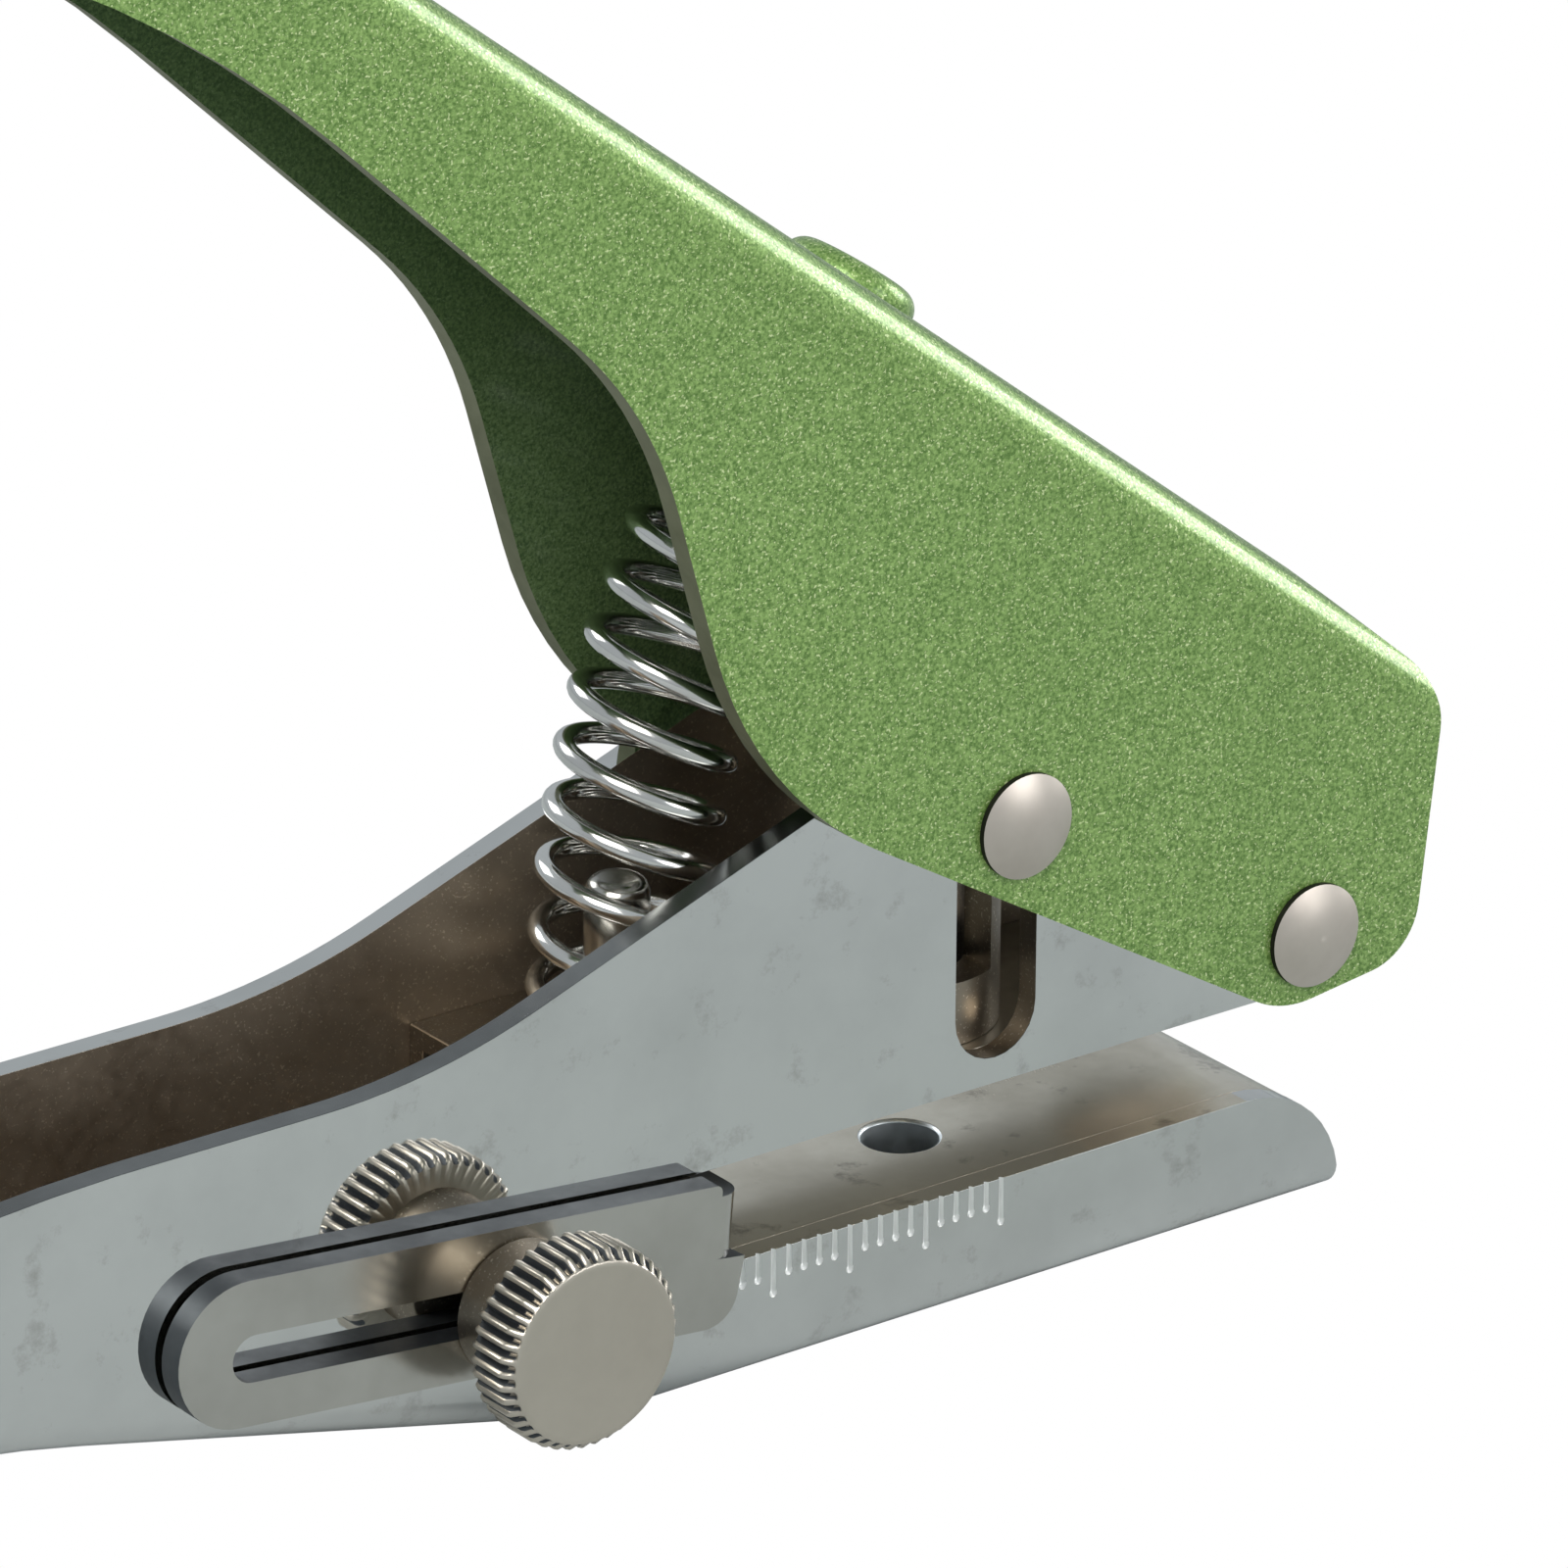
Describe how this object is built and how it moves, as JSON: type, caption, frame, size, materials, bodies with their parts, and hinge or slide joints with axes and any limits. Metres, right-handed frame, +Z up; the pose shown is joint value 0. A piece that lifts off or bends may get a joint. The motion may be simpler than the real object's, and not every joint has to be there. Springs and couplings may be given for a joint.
{
  "type": "single hole punch",
  "caption": "Plier-type single hole punch with a channel body, sprung handle, sliding punch and a slotted paper guide.",
  "frame": {"origin": "on the flat underside of the lower jaw, 12 mm behind the punch axis, in the middle plane of the body", "axes": "+X toward the nose of the jaws, +Y away from the guide plate, +Z up along the punch axis"},
  "size_m": [0.1382, 0.0264, 0.1018],
  "materials": {
    "chrome": "polished",
    "green_paint": "metallic gloss",
    "nickel": "satin",
    "die_steel": "polished",
    "dark_steel": "dull",
    "spring_steel": "polished"
  },
  "bodies": {
    "body": {"body_shell": "chrome", "die_plate": "die_steel", "jaw_plate": "dark_steel", "guide_sleeve": "dark_steel", "spring_bridge": "dark_steel", "spring_post": "nickel", "clamp_nut": "dark_steel", "spring": "spring_steel"},
    "pivot": {"pivot_rivet": "nickel"},
    "handle": {"handle_shell": "green_paint", "drive_rivet": "nickel", "spring_stud": "green_paint"},
    "punch": {"punch": "die_steel"},
    "guide": {"guide_plate": "nickel"},
    "screw": {"thumb_screw": "nickel"}
  },
  "joints": [
    {"name": "pivot_creep", "type": "slide", "parent": "body", "child": "pivot", "axis": [1, 0, 0], "range_m": [0, 0.00285]},
    {"name": "handle_hinge", "type": "hinge", "parent": "pivot", "child": "handle", "pos_m": [0.03243, 0, 0.01671], "axis": [0, -1, 0], "range_deg": [0, 23.07], "stiffness_Nm_per_rad": 0.3, "springref_deg": -20.05, "deforming": ["spring"]},
    {"name": "punch_slide", "type": "slide", "parent": "body", "child": "punch", "axis": [0, 0, -1], "range_m": [0, 0.00865]},
    {"name": "guide_slide", "type": "slide", "parent": "body", "child": "guide", "axis": [0.9956, 0, -0.0941], "range_m": [-0.0025, 0.0125]},
    {"name": "screw_turn", "type": "hinge", "parent": "body", "child": "screw", "pos_m": [-0.01975, 0, 0.00953], "axis": [0, -1, 0], "continuous": true}
  ],
  "couplings": [
    {"joint": "pivot_creep", "follows": "handle_hinge", "m_per_rad": 0.0070049},
    {"joint": "punch_slide", "follows": "handle_hinge", "m_per_rad": 0.02136}
  ]
}
